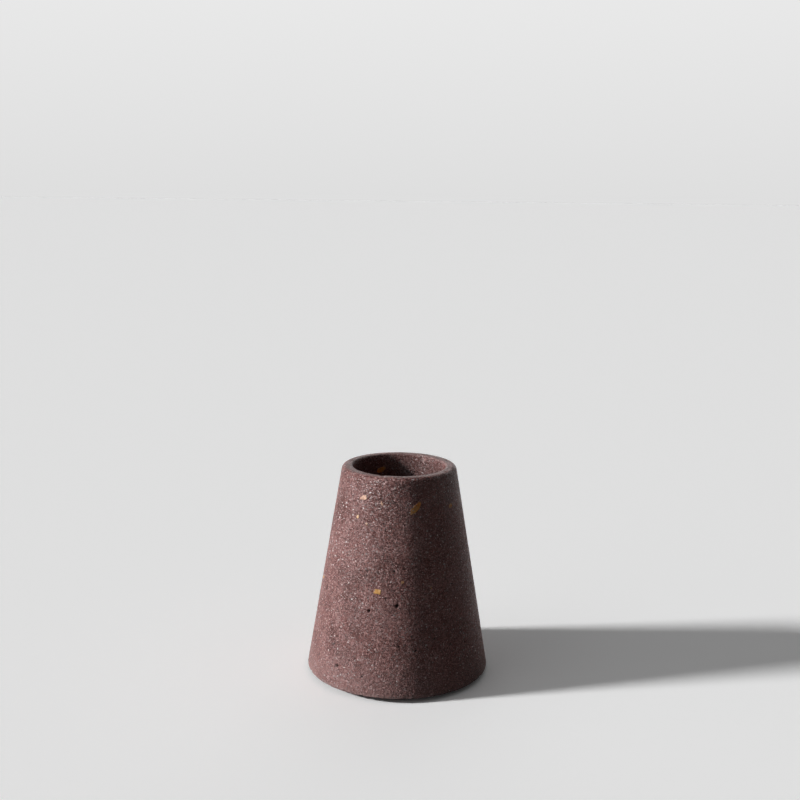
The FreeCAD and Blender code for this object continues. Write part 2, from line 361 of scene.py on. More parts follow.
rim_begun = smooth_step(RIM_OUTSIDE - WEAR_BEFORE_RIM, RIM_OUTSIDE + WEAR_FULL, cup_ways)
rim_past = smooth_step(RIM_INSIDE, WELL_TOP, cup_ways)
inner_lip = band((RIM_INSIDE + WELL_TOP) / 2, LIP_RUB_AND_HIGHLIGHT)
lower_edge = band(WALL_FOOT, EDGE_RUB)
in_well = smooth_step(RIM_INSIDE, WELL_TOP + DAMP_AND_SHADE_BELOW_LIP, cup_ways)
near_top = smooth_step(WALL_TOP - HANDLED_FROM, WALL_TOP - HANDLED_FULL, cup_ways)
cup_marks = {
    # the pinholes' painted shade
    "pinhole": hollow_shade,
    "wear": rim_begun - rim_past,
    # rubbed pale edges; on the inner lip the pale is also a painted highlight
    "rub": np.maximum(inner_lip, lower_edge),
    # the damp well, darker also as painted shade inside it
    "inside": in_well,
    # paler towards the foot: dust, and painted light bounced up from the floor
    "dust": 1 - smooth_step(WALL_FOOT, WALL_FOOT + DUST_AND_BOUNCE_HEIGHT, cup_ways),
    "handled": near_top * (1 - in_well),
}
print("marks on the cup's points:", ", ".join(cup_marks))

# %% [markdown]
# ## The cast cup
# All pieces here are closed skins: rings of points, one beyond the other, with a single point at
# each end. Spin could make them too, but it can turn a skin inside out. One helper makes the faces for
# any grid, so the way round of the faces has to be right only once. It also stores the numbers that
# the finish reads.


def closed_skin(name, rings, poles, marks=None):
    """A mesh object from an array of rings (rows x columns x 3) and the points that close its two
    ends. Quads join each ring to the next, and a fan of triangles joins each end ring to its pole."""
    rows, columns = rings.shape[:2]
    ring = 1 + np.arange(rows * columns).reshape(rows, columns)
    after = np.roll(ring, -1, axis=1)
    first = np.zeros(columns, int)
    last = np.full(columns, 1 + rows * columns)
    quads = np.stack([ring[:-1], after[:-1], after[1:], ring[1:]], axis=-1).reshape(-1, 4)
    fans = np.concatenate([
        np.stack([first, after[0], ring[0]], axis=-1),
        np.stack([ring[-1], after[-1], last], axis=-1),
    ])
    points = np.concatenate([poles[:1], rings.reshape(-1, 3), poles[1:]])
    mesh = bpy.data.meshes.new(name)
    mesh.from_pydata(points.tolist(), [], quads.tolist() + fans.tolist())
    for mark, values in (marks or {}).items():
        ends = [values[0].mean(keepdims=True), values.ravel(), values[-1].mean(keepdims=True)]
        layer = mesh.attributes.new(mark, "FLOAT", "POINT")
        layer.data.foreach_set("value", np.concatenate(ends).astype(np.float32))
    mesh.shade_smooth()
    mesh.validate()
    skin = bpy.data.objects.new(name, mesh)
    bpy.context.scene.collection.objects.link(skin)
    print(f"{name}: {len(points)} points, {2 * len(quads) + len(fans)} triangles")
    return skin


cup_rings = cup_points(cup_turns, cup_ways, cup_lift)
cup_poles = cup_points(np.zeros(2), MARKS[[0, -1]], np.full(2, -MEAN_RELIEF))
cup_poles[:, :2] = 0.0
cup = closed_skin("cast_cup", cup_rings, cup_poles, cup_marks)
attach(cup, "root")
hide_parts("cast_body")

# %% [markdown]
# ## The broken stones
# The coarse stones of the mix lie against the mould, so each shows a flat face level with the wall.
# The CAD model has them as many-sided plugs in pockets of their own shape. A real broken stone keeps
# those sides, but its edge is chipped and never quite straight. The CAD mesh could be subdivided and
# shaken, but its triangles are long and uneven. So the face's outline is read from it, carried into
# the cup's two parameters by the nearest step of the walk, and drawn again as a ring of many points.

# %% Read a stone's outline
STONE_COLUMNS = 96
STONE_BEARINGS = np.linspace(0.0, 2 * math.pi, STONE_COLUMNS, endpoint=False)
ON_SURFACE = 0.03 * MM
LEAST_FACING = 0.01


def node_points(node):
    """The corners of a CAD node's mesh, as an array of points."""
    mesh = frame["nodes"][node].data
    flat = np.zeros(3 * len(mesh.vertices), np.float32)
    mesh.vertices.foreach_get("co", flat)
    return flat.reshape(-1, 3).astype(float)


def cup_parameters(points):
    """Turn, way and distance from the surface of each point: its nearest step of the walk."""
    radius = np.hypot(points[:, 0], points[:, 1])
    gaps = np.hypot(radius[:, None] - WALK_RADIUS, points[:, 2:3] - WALK_HEIGHT)
    nearest = gaps.argmin(axis=1)
    return np.arctan2(points[:, 1], points[:, 0]), WALK[nearest], gaps.min(axis=1)


def face_points(node):
    """The middle of a stone's face, as turn and way, and the face's points round it, in metres."""
    turn, way, gap = cup_parameters(node_points(node))
    on_face = gap < ON_SURFACE
    middle_turn = np.angle(np.exp(1j * turn[on_face]).mean())
    middle_way = way[on_face].mean()
    radius = np.interp(middle_way, WALK, WALK_RADIUS)
    across = wrapped(turn[on_face] - middle_turn) * radius
    return middle_turn, middle_way, np.stack([across, way[on_face] - middle_way], axis=-1)


def outline_reach(points):
    """Distance from the middle to the face's outline at each bearing b. The points reach as far as
    h(c) in the direction c, and the outline is where the least of all h(c) / cos(b - c) lies."""
    directions = np.stack([np.cos(STONE_BEARINGS), np.sin(STONE_BEARINGS)])
    extents = (points @ directions).max(axis=0)
    facing = np.cos(STONE_BEARINGS[:, None] - STONE_BEARINGS)
    reaches = extents / np.maximum(facing, LEAST_FACING)
    return np.where(facing > LEAST_FACING, reaches, np.inf).min(axis=1)


ochre_reach = outline_reach(face_points("ochre_chip_1")[2]) / MM
print(f"the first ochre stone reaches {ochre_reach.min():.2f} to {ochre_reach.max():.2f} mm")

# %% [markdown]
# The outline of a broken stone has many small chips. They could be drawn point by point, but twenty
# stones need twenty different edges. So the corners are eased, and a few sine waves of random size
# round the outline chip it. The longer waves are larger, as the larger chips are on a real stone.

# %% Chip the outline
SMOOTHING = np.array([0.25, 0.5, 0.25])
EDGE_CHIPPING = 0.035
CHIP_COUNTS = np.arange(5, 23)


def broken_outline(points):
    """The outline's reach with its corners eased by a three-point mean, then chipped by sine waves:
    each goes round a whole number n of times, and its size is random, over the square root of n."""
    reach = outline_reach(points)
    eased = SMOOTHING @ np.stack([np.roll(reach, 1), reach, np.roll(reach, -1)])
    sizes = chance.standard_normal(len(CHIP_COUNTS)) / np.sqrt(CHIP_COUNTS)
    phases = chance.uniform(0.0, 2 * math.pi, len(CHIP_COUNTS))
    waves = sizes[:, None] * np.sin(CHIP_COUNTS[:, None] * STONE_BEARINGS + phases[:, None])
    return eased * (1 + EDGE_CHIPPING * waves.sum(axis=0))


print(f"a stone's edge is chipped by {len(CHIP_COUNTS)} waves")

# %% [markdown]
# A stone's section runs from the middle of its hidden end out to the side, up the side and back over
# the face to the middle. An extruded outline would do for the shape, but its edge would be sharp. Here
# the edge drops a little, as a worn one does, and below the surface the side draws in, as the pocket
# does. Only the face is seen, so it gets most of the rings. Three numbers go onto the points for the
# finish: the drift along the stone's length, the cement film along its edge, which also carries the
# painted shade of the gap round the stone, and the bloom that makes small stones paler.

# %% Make the stones
STONE_DEPTH = 1.2 * MM
FACE_LEVEL = -0.004 * MM
FACE_GRAIN = 0.012 * MM
BURIED_SHARES = np.array([0.4, 0.8, 0.88, 0.94, 0.985, 1.0])
BURIED_HEIGHTS = np.array([-1.0, -1.0, -0.9, -0.5, -0.16, -0.05])
FACE_SHARES = np.linspace(0.985, 0.06, 13)
RING_SHARES = np.concatenate([BURIED_SHARES, FACE_SHARES])[:, None]
FILM_SHARE = 0.3
BLOOM_REACH = (0.6 * MM, 1.3 * MM)


def stone_marks(points, across, along, reach):
    """Drift is how far a point lies along the direction in which the face spreads most. Film is one at
    the edge and nought past FILM_SHARE inside it. Bloom falls from one to nought over BLOOM_REACH."""
    spread = np.linalg.svd(points, full_matrices=False)[2][0]
    spread = spread * np.sign(spread[0])
    drift = (across * spread[0] + along * spread[1]) / reach.max()
    film = 1 - smooth_step(0.0, FILM_SHARE, (1 - RING_SHARES) * np.ones_like(reach))
    bloom = np.full_like(film, 1 - smooth_step(*BLOOM_REACH, reach.max()))
    return {"drift": 0.5 + 0.5 * drift, "film": film, "bloom": bloom}


def make_stone(node, name):
    """A stone's skin: its outline times the section's shares, laid on the cup at the stone's place."""
    turn, way, points = face_points(node)
    reach = broken_outline(points)
    radius = np.interp(way, WALK, WALK_RADIUS)
    across = RING_SHARES * reach * np.cos(STONE_BEARINGS)
    along = RING_SHARES * reach * np.sin(STONE_BEARINGS)
    buried = np.repeat(FACE_LEVEL + STONE_DEPTH * BURIED_HEIGHTS[:, None], STONE_COLUMNS, axis=1)
    face = FACE_LEVEL - FACE_GRAIN * chance.random((len(FACE_SHARES), STONE_COLUMNS))
    rings = cup_points(turn + across / radius, way + along, np.concatenate([buried, face]))
    ends = cup_points(np.full(2, turn), np.full(2, way), np.array([-STONE_DEPTH, FACE_LEVEL]))
    return closed_skin(name, rings, ends, stone_marks(points, across, along, reach))


stones = {}
for node in sorted(frame["nodes"]):
    if "_chip_" in node:
        kind, order = node.split("_chip_")
        stone = make_stone(node, f"{kind}_stone_{order}")
        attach(stone, "root")
        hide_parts(node)
        stones.setdefault(kind, []).append(stone)
print({kind: len(members) for kind, members in stones.items()})

# %% [markdown]
# ## The rubber feet
# A stick-on foot is a moulded disc with a soft round at its lower edge and a slight hollow below, so
# that it grips. A cylinder with a Bevel modifier would leave its underside flat. So it is a section
# swung about its own axis, like the cup, at the place of its CAD disc.

# %% Make the feet
FOOT_COLUMNS = 72
FOOT_TURNS = np.linspace(0.0, 2 * math.pi, FOOT_COLUMNS, endpoint=False)
FOOT_ROUND_STEPS = np.linspace(0.0, math.pi / 2, 9)[1:]
FOOT_UNDER_SHARES = np.linspace(0.12, 1.0, 9)
FOOT_ROUNDING = 0.45
FOOT_HOLLOW = 0.1
HOLLOW_POWER = 4
SIDE_RING = 0.7
TOP_RING = 0.5


def foot_section(radius, low, high):
    """Half of a foot's section, as radius and height: across the underside, whose hollow falls off
    with a power of the distance, round the edge on a quarter circle, up the side and over the top."""
    height = high - low
    rounding = FOOT_ROUNDING * height
    flat = radius - rounding
    under = FOOT_UNDER_SHARES * flat
    hollow = FOOT_HOLLOW * height * (1 - (under / under[-1]) ** HOLLOW_POWER)
    edge_radius = flat + rounding * np.sin(FOOT_ROUND_STEPS)
    edge_height = low + rounding - rounding * np.cos(FOOT_ROUND_STEPS)
    return np.concatenate([
        np.stack([under, low + hollow], axis=-1),
        np.stack([edge_radius, edge_height], axis=-1),
        [(radius, low + SIDE_RING * height), (radius, high), (TOP_RING * radius, high)],
    ])


def make_foot(node):
    """A foot's section swung about the upright line through the middle of its CAD disc."""
    low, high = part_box(node)
    middle = (low + high) / 2
    section = foot_section((high.x - low.x) / 2, low.z, high.z)
    rings = np.stack([
        middle.x + section[:, :1] * np.cos(FOOT_TURNS),
        middle.y + section[:, :1] * np.sin(FOOT_TURNS),
        np.repeat(section[:, 1:], FOOT_COLUMNS, axis=1),
    ], axis=-1)
    hollow_top = low.z + FOOT_HOLLOW * (high.z - low.z)
    ends = np.array([(middle.x, middle.y, hollow_top), (middle.x, middle.y, high.z)])
    foot = closed_skin(node.replace("rubber_foot", "foot_pad"), rings, ends)
    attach(foot, "root")
    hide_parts(node)
    return foot


feet = [make_foot(node) for node in sorted(frame["nodes"]) if node.startswith("rubber_foot_")]
print(len(feet), "feet under the cup")

# %% [markdown]
# ## The cast stone's finish
# A finish is a small network of nodes: patterns read the point's place on the object, and their
# numbers steer colour, roughness and bump. A photograph laid over the cup would be quicker, but it
# holds the light of one place, and it has a seam. Nodes have neither. One helper adds a node with its
# settings and inputs in a single line, so that a recipe can be read from top to bottom.

# %% Start the cast stone's finish


def add_node(tree, kind, inputs, **settings):
    """Add a shader node. `inputs` maps a socket's name or number to a value or to a feeding socket."""
    made = tree.nodes.new("ShaderNode" + kind)
    for key, value in settings.items():
        setattr(made, key, value)
    for key, value in inputs.items():
        if isinstance(value, bpy.types.NodeSocket):
            tree.links.new(value, made.inputs[key])
        else:
            made.inputs[key].default_value = value
    return made


def start_finish(name):
    """A new material with an empty tree, and the socket that gives the point's place in metres."""
    finish = bpy.data.materials.new(name)
    finish.use_nodes = True
    finish.node_tree.nodes.clear()
    place = add_node(finish.node_tree, "TexCoord", {})
    return finish, finish.node_tree, place.outputs["Object"]


cast_finish, tree, where = start_finish("cast_stone_sanded")
print(cast_finish.name, "starts with", len(tree.nodes), "node")

# %% [markdown]
# Close up, the cast stone is sand in a red-brown paste. The paste is never quite even: in some places
# it is richer in pigment, in others cement dust has dried on it. One flat colour would look like
# paint, so two soft noise patterns of different size blend three tones of the paste.

# %% Mix the paste
PASTE_RICH = (0.108, 0.031, 0.025, 1.0)
PASTE = (0.197, 0.065, 0.055, 1.0)
PASTE_DUSTY = (0.268, 0.123, 0.113, 1.0)
RICH_PATCH = 11 * MM
RICH_EDGE = (0.46, 0.66)
RICH_COVER = 0.85
DUSTY_PATCH = 4 * MM
DUSTY_EDGE = (0.4, 0.66)
CLOUD_RANGE = (0.3, 0.7)


def blend(tree, share, first, second):
    """Colour that goes from the first to the second as the share goes from nought to one."""
    made = add_node(tree, "Mix", {0: share, 6: first, 7: second}, data_type="RGBA")
    return made.outputs[2]


def number(tree, operation, first, second):
    """One arithmetic step on two numbers."""
    return add_node(tree, "Math", {0: first, 1: second}, operation=operation).outputs[0]


def scaled(tree, value, factor):
    """The value times the factor."""
    return number(tree, "MULTIPLY", value, factor)


def stretch(tree, value, low, high, start=0.0, end=1.0):
    """Map the range from low to high onto start to end, and hold it there outside."""
    inputs = {"Value": value, 1: low, 2: high, 3: start, 4: end}
    return add_node(tree, "MapRange", inputs).outputs[0]


def cloud(tree, where, size, detail=3.0):
    """Soft noise whose patches are about `size` metres across, mostly within CLOUD_RANGE."""
    inputs = {"Vector": where, "Scale": 1 / size, "Detail": detail}
    return add_node(tree, "TexNoise", inputs).outputs[0]


rich = stretch(tree, cloud(tree, where, RICH_PATCH), *RICH_EDGE)
dusty = stretch(tree, cloud(tree, where, DUSTY_PATCH), *DUSTY_EDGE)
paste = blend(tree, dusty, PASTE, PASTE_DUSTY)
paste = blend(tree, scaled(tree, rich, RICH_COVER), paste, PASTE_RICH)
print("the paste takes", len(tree.nodes), "nodes")

# %% [markdown]
# The sand is a crowd of broken grains, from dark ones to white, with shaded gaps and pores between
# them. As real little stones they would be millions of faces. A random-cell pattern does it instead:
# each cell has its own random numbers, which decide whether a grain shows there and how pale it is.
# One fine layer makes the body of the sand, and its darkest cells are dark sand and also the painted
# shade of the gaps. Three coarser ones add what stands out: pale grains, and pores that are sunk a
# little and painted near black as their shade. Each grain also leans its own way, so that light from
# the side picks it up as it does on the real wall.

# %% Scatter the sand
DARK_SAND_AND_GAP_SHADE = (0.040, 0.014, 0.012, 1.0)
SAND_PINK = (0.49, 0.285, 0.271, 1.0)
GRAIN_WHITE = (0.80, 0.71, 0.70, 1.0)
PORE_PAINTED_SHADE = (0.012, 0.006, 0.005, 1.0)
# Each kind has its cell in mm, the share of the cells that show a grain, and its reach in cells
GRAIN_KINDS = {
    "fine": (0.34, 1.0, 0.9),
    # pores: sunk by the bump and painted near black as their shade
    "dark": (0.7, 0.06, 0.36),
    "small": (0.55, 0.15, 0.46),
    "large": (1.2, 0.15, 0.3),
}
GRAIN_FLAT = 0.7
GRAIN_LIFT = 0.15
SHAKE_SIZE = 0.4 * MM
SHAKE_REACH = 0.16 * MM
DEEP_TINTS = (0.45, 0.1)
DEEP_COVER = 0.7
PINK_POWERS = (3.0, 4.5)
PORE_SHADE_COVER = 0.85
LARGE_PALE = 0.5


def grains(tree, where, cell, share, reach):
    """Grains of a random-cell pattern: one per cell of that size, out to the distance `reach` from the
    cell's middle, in cells. Returns the mask of the share that shows, their tint, and the relief in
    metres, where each grain is a flat facet that leans its own random way."""
    cells = add_node(tree, "TexVoronoi", {"Vector": where, "Scale": 1 / cell})
    draws = add_node(tree, "SeparateColor", {"Color": cells.outputs["Color"]})
    dome = stretch(tree, cells.outputs["Distance"], reach, GRAIN_FLAT * reach)
    shown = number(tree, "LESS_THAN", draws.outputs[0], share)
    lean = add_node(tree, "VectorMath", {0: cells.outputs["Color"], 1: (0.5,) * 3}, operation="SUBTRACT")
    offset = add_node(tree, "VectorMath", {0: where, 1: cells.outputs["Position"]}, operation="SUBTRACT")
    tilt = add_node(tree, "VectorMath", {
        0: lean.outputs[0], 1: offset.outputs[0],
    }, operation="DOT_PRODUCT").outputs["Value"]
    mask = number(tree, "MULTIPLY", dome, shown)
    facet = number(tree, "MULTIPLY", mask, number(tree, "ADD", tilt, GRAIN_LIFT * cell))
    return {"mask": mask, "tint": draws.outputs[1], "facet": facet}


shake = add_node(tree, "TexNoise", {"Vector": where, "Scale": 1 / SHAKE_SIZE, "Detail": 1.0})
shaken = add_node(tree, "VectorMath", {
    0: shake.outputs["Color"], 1: (SHAKE_REACH,) * 3, 2: where,
}, operation="MULTIPLY_ADD").outputs[0]
sand = {
    kind: grains(tree, shaken, cell * MM, share, reach)
    for kind, (cell, share, reach) in GRAIN_KINDS.items()
}
fine_tint = sand["fine"]["tint"]
# darkest fine cells: dark sand, and painted shade in the gaps between grains
colour = blend(tree, stretch(tree, fine_tint, *DEEP_TINTS, 0.0, DEEP_COVER), paste, DARK_SAND_AND_GAP_SHADE)
pink_cover = number(tree, "POWER", fine_tint, stretch(tree, rich, 0.0, 1.0, *PINK_POWERS))
colour = blend(tree, pink_cover, colour, SAND_PINK)
# the pores' painted shade, near black
colour = blend(tree, scaled(tree, sand["dark"]["mask"], PORE_SHADE_COVER), colour, PORE_PAINTED_SHADE)
small_pale = blend(tree, sand["small"]["tint"], SAND_PINK, GRAIN_WHITE)
colour = blend(tree, sand["small"]["mask"], colour, small_pale)
large_tint = stretch(tree, sand["large"]["tint"], 0.0, LARGE_PALE)
large_pale = blend(tree, large_tint, SAND_PINK, GRAIN_WHITE)
colour = blend(tree, sand["large"]["mask"], colour, large_pale)
print("with", len(sand), "kinds of grain there are", len(tree.nodes), "nodes")

# %% [markdown]
# Wear, dust, rubbing and damp change the colour where the marks of use say so, and with them the
# painted bounce light at the foot, the painted highlight on the inner lip and the painted shade in the
# well. They could be separate materials on some of the faces, but then they would end at a hard line.
# An Attribute node reads each mark from the points, and each blends in its own tint, with the painted
# shade of the pinholes last.

# %% Tint the marks of use
RIM_GREY = (0.125, 0.084, 0.076, 1.0)
RUBBED_AND_LIP_HIGHLIGHT = (0.34, 0.25, 0.24, 1.0)
FOOT_DUST_AND_BOUNCE_LIGHT = (0.33, 0.195, 0.185, 1.0)
WELL_DAMP_AND_SHADE = (0.055, 0.026, 0.023, 1.0)
HOLE_PAINTED_SHADE = (0.004, 0.003, 0.003, 1.0)
MARK_TINTS = {
    "dust": (0.35, FOOT_DUST_AND_BOUNCE_LIGHT),
    "wear": (0.5, RIM_GREY),
    "rub": (0.3, RUBBED_AND_LIP_HIGHLIGHT),
    "inside": (0.6, WELL_DAMP_AND_SHADE),
    "pinhole": (1.0, HOLE_PAINTED_SHADE),
}


def point_mark(tree, mark):
    """The number that is stored on the points under that name, carried evenly across each face."""
    return add_node(tree, "Attribute", {}, attribute_name=mark).outputs["Fac"]


for mark, (cover, tint) in MARK_TINTS.items():
    colour = blend(tree, scaled(tree, point_mark(tree, mark), cover), colour, tint)
print(len(MARK_TINTS), "marks tint the cast stone")

# %% [markdown]
# The gloss of cast stone is faint and patchy: a little more on bare grains and where hands polish it.
# The grains are too small for the mesh, so their facets are bump, which needs no more points. The
# heights are in metres, so the Bump node's own distance stays at one.

# %% Finish the cast stone
GLOSS_PATCH = 1.5 * MM
CAST_ROUGHNESS = (0.54, 0.40)
GRAIN_POLISH = 0.12
HAND_POLISH = 0.10
FINE_FACETS = 0.85
SMALL_FACETS = 1.3
LARGE_FACETS = 0.5
LUMP_SIZE = 0.9 * MM
LUMP_HEIGHT = 0.06 * MM
DARK_DEPTH = 0.08 * MM
CAST_GLOSS = 0.12


def end_finish(tree, colour, roughness, bump_height, **constants):
    """Join colour, roughness and bump to one shader. Constants go straight to its own sockets."""
    bump = add_node(tree, "Bump", {"Height": bump_height, "Distance": 1.0, "Strength": 1.0})
    shader = add_node(tree, "BsdfPrincipled", {
        "Base Color": colour, "Roughness": roughness, "Normal": bump.outputs[0], **constants,
    })
    add_node(tree, "OutputMaterial", {"Surface": shader.outputs[0]})


rough = stretch(tree, cloud(tree, where, GLOSS_PATCH), *CLOUD_RANGE, *CAST_ROUGHNESS)
rough = number(tree, "SUBTRACT", rough, scaled(tree, sand["small"]["mask"], GRAIN_POLISH))
rough = number(tree, "SUBTRACT", rough, scaled(tree, point_mark(tree, "handled"), HAND_POLISH))
fine_height = scaled(tree, sand["fine"]["facet"], FINE_FACETS)
height = number(tree, "ADD", fine_height, scaled(tree, sand["small"]["facet"], SMALL_FACETS))
height = number(tree, "ADD", height, scaled(tree, sand["large"]["facet"], LARGE_FACETS))
height = number(tree, "ADD", height, scaled(tree, cloud(tree, where, LUMP_SIZE, 4.0), LUMP_HEIGHT))
height = number(tree, "SUBTRACT", height, scaled(tree, sand["dark"]["mask"], DARK_DEPTH))
end_finish(tree, colour, rough, height, **{"Specular IOR Level": CAST_GLOSS})
cup.data.materials.append(cast_finish)
print("the cast stone's recipe has", len(tree.nodes), "nodes")

# %% [markdown]
# ## The stones' finish
# The stones are ground smooth by the mould and are a little glossier than the cement. Inside each
# the colour drifts from one end to the other and clouds up in places, with darker stains and a few
# pale flaws. A material for each of twenty stones would be a lot to keep in step, so each of the three
# kinds has one recipe. The drift is stored on the points, so that each stone still runs along its own
# length.

# %% Colour the inside of a stone
FLAW_PALE = (0.62, 0.53, 0.48, 1.0)
STONE_CLOUD = 0.9 * MM
CLOUD_EDGE = (0.35, 0.65)
CLOUD_DRIFT = 0.6
DRIFT_EDGE = (0.2, 0.8)
STAIN_CLOUD = 0.8 * MM
STAIN_EDGE = (0.52, 0.7)
STAIN_COVER = 0.75
STAIN_SHADE = 0.4
FLAW_CELL = 0.8 * MM
FLAW_CELL_SHARE = 0.2
FLAW_REACH = 0.3
FLAW_COVER = 0.6


def stone_inside(tree, where, near_end, far_end):
    """Drift plus clouds blends the colours of the two ends. Stains darken it to STAIN_SHADE times the
    near end's colour, and flaws are pale grains. Returns the clouds, the flaws' relief and the colour."""
    clouds = cloud(tree, where, STONE_CLOUD, 4.0)
    clouding = stretch(tree, clouds, *CLOUD_EDGE, -CLOUD_DRIFT, CLOUD_DRIFT)
    along = number(tree, "ADD", point_mark(tree, "drift"), clouding)
    colour = blend(tree, stretch(tree, along, *DRIFT_EDGE), near_end, far_end)
    stain = stretch(tree, cloud(tree, where, STAIN_CLOUD, 5.0), *STAIN_EDGE, 0.0, STAIN_COVER)
    shade = tuple(STAIN_SHADE * value for value in near_end[:3]) + (1.0,)
    colour = blend(tree, stain, colour, shade)
    flaws = grains(tree, where, FLAW_CELL, FLAW_CELL_SHARE, FLAW_REACH)
    colour = blend(tree, scaled(tree, flaws["mask"], FLAW_COVER), colour, FLAW_PALE)
    return clouds, flaws["facet"], colour


print(f"a stone's clouds are about {STONE_CLOUD / MM:.1f} mm across")

# %% [markdown]
# Where a stone meets the cement, a thin film of it stays on the edge, and the hairline gap there lies
# in shade; the film's colour paints both. A ring of other faces would show as a clean line. So the film
# follows the number on the points, made ragged by noise, and it is thinner on the small stones, which
# are paler all over.

# %% Mix the three kinds of stone
CEMENT_FILM_AND_GAP_SHADE = (0.18, 0.095, 0.087, 1.0)
BLOOM_PALE = (0.48, 0.34, 0.25, 1.0)
STONE_COLOURS = {
    "amber": ((0.50, 0.250, 0.075, 1.0), (0.56, 0.190, 0.022, 1.0)),
    "ochre": ((0.74, 0.360, 0.090, 1.0), (0.84, 0.500, 0.220, 1.0)),
    "peach": ((0.56, 0.270, 0.180, 1.0), (0.80, 0.480, 0.320, 1.0)),
}
BLOOM_COVER = 0.45
FILM_CLOUD = 0.45 * MM
FILM_RAG = 0.4
FILM_EDGE = (0.5, 0.9)
FILM_COVER = 0.85
STONE_ROUGHNESS = (0.36, 0.52)
STONE_LUMPS = 0.08 * MM
STONE_GLOSS = 0.25


def stone_finish(kind, near_end, far_end):
    """The inside of the stone, then its bloom, then the cement film and painted gap shade on its ragged
    edge.
    """
    finish, tree, where = start_finish(f"{kind}_stone_ground")
    clouds, flaw_facet, colour = stone_inside(tree, where, near_end, far_end)
    bloom = scaled(tree, point_mark(tree, "bloom"), BLOOM_COVER)
    colour = blend(tree, bloom, colour, BLOOM_PALE)
    film = number(tree, "SUBTRACT", point_mark(tree, "film"), bloom)
    rag = stretch(tree, cloud(tree, where, FILM_CLOUD), *CLOUD_RANGE, -FILM_RAG, FILM_RAG)
    ragged = number(tree, "ADD", film, rag)
    # cement film and painted shade of the gap, along the stone's ragged edge
    colour = blend(tree, stretch(tree, ragged, *FILM_EDGE, 0.0, FILM_COVER), colour, CEMENT_FILM_AND_GAP_SHADE)
    rough = stretch(tree, clouds, *CLOUD_RANGE, *STONE_ROUGHNESS)
    height = number(tree, "ADD", scaled(tree, clouds, STONE_LUMPS), flaw_facet)
    end_finish(tree, colour, rough, height, **{"Specular IOR Level": STONE_GLOSS})
    return finish


for kind, (near_end, far_end) in STONE_COLOURS.items():
    finish = stone_finish(kind, near_end, far_end)
    for stone in stones[kind]:
        stone.data.materials.append(finish)
    print(finish.name, "on", len(stones[kind]), "stones")

# %% [markdown]
# ## The feet's finish
# Moulded rubber is near black, with a faint bloom and a fine matt grain from its mould. A plain dark
# colour would do from afar, but close up it would look like plastic, so one noise pattern gives the
# bloom, in colour and roughness together, and a much finer one the grain.

# %% Mix the rubber
RUBBER = (0.022, 0.021, 0.021, 1.0)
RUBBER_BLOOM = (0.060, 0.056, 0.054, 1.0)
RUBBER_PATCH = 1.6 * MM
RUBBER_EDGE = (0.42, 0.7)
RUBBER_ROUGHNESS = (0.62, 0.82)
PIMPLE_SIZE = 0.12 * MM
PIMPLE_HEIGHT = 0.03 * MM
rubber_finish, tree, where = start_finish("foot_rubber_moulded")
bloom = stretch(tree, cloud(tree, where, RUBBER_PATCH, 4.0), *RUBBER_EDGE)
pimples = scaled(tree, cloud(tree, where, PIMPLE_SIZE, 1.0), PIMPLE_HEIGHT)
rough = stretch(tree, bloom, 0.0, 1.0, *RUBBER_ROUGHNESS)
end_finish(tree, blend(tree, bloom, RUBBER, RUBBER_BLOOM), rough, pimples)
for foot in feet:
    foot.data.materials.append(rubber_finish)
print("rubber on", len(feet), "feet")

# %% [markdown]
# ## The floor
# The holder stands on a very wide sheet of matt paper. Seen directly or mirrored the paper is white,
# and it glows a little, so that it stays pale in the lamp's shadow. More light could do that too, but
# it would fall on the holder as well. Close under the object the glow is shut out, which leaves the
# dark line that a standing thing has at its foot. As a reflector the paper is dark, so that it throws
# little light back. It isn't part of the object.

# %% Lay the paper
PAPER_HALF_WIDTH = 30.0
corner = np.array([-1.0, 1.0, 1.0, -1.0]) * PAPER_HALF_WIDTH
paper_points = np.stack([corner, np.roll(corner, 1), np.zeros(4)], axis=-1)
paper_mesh = bpy.data.meshes.new("paper_sheet")
paper_mesh.from_pydata(paper_points.tolist(), [], [[0, 1, 2, 3]])
paper = bpy.data.objects.new("paper_sheet", paper_mesh)
bpy.context.scene.collection.objects.link(paper)
paper_normal = tuple(paper_mesh.polygons[0].normal)
print(f"the paper is {2 * PAPER_HALF_WIDTH:.0f} m wide, its normal is {paper_normal}")

# %% [markdown]
# The paper has to look different to the eye and to the lamps' bounced light. Two floors could do it,
# one hidden from the camera, but they would have to lie in the same place. A Light Path node tells
# the kinds of ray apart within one finish.

# %% Finish the paper
PAPER_SEEN = (0.98, 0.98, 0.98, 1.0)
PAPER_BOUNCE = (0.12, 0.12, 0.12, 1.0)
PAPER_GLOW = 0.133
PAPER_ROUGHNESS = 0.9
FIBRE_SIZE = 2 * MM
FIBRE_HEIGHT = 0.01 * MM
SHUT_OUT_WITHIN = 60 * MM


def seen_or_mirrored(tree):
    """One on a ray from the camera, or one that was mirrored or let through, and nought on others."""
    path = add_node(tree, "LightPath", {})
    seen = number(tree, "MAXIMUM", path.outputs["Is Camera Ray"], path.outputs["Is Glossy Ray"])
    return number(tree, "MAXIMUM", seen, path.outputs["Is Transmission Ray"])


paper_finish, tree, where = start_finish("paper_matt")
fibres = scaled(tree, cloud(tree, where, FIBRE_SIZE), FIBRE_HEIGHT)
seen = seen_or_mirrored(tree)
open_air = add_node(tree, "AmbientOcclusion", {"Distance": SHUT_OUT_WITHIN}, samples=4).outputs["AO"]
glow = number(tree, "MULTIPLY", seen, scaled(tree, open_air, PAPER_GLOW))
end_finish(tree, blend(tree, seen, PAPER_BOUNCE, PAPER_SEEN), PAPER_ROUGHNESS, fibres, **{
    "Emission Color": (1.0, 1.0, 1.0, 1.0),
    "Emission Strength": glow,
    "Specular IOR Level": 0.0,
})
paper.data.materials.append(paper_finish)
print("the paper's recipe has", len(tree.nodes), "nodes")

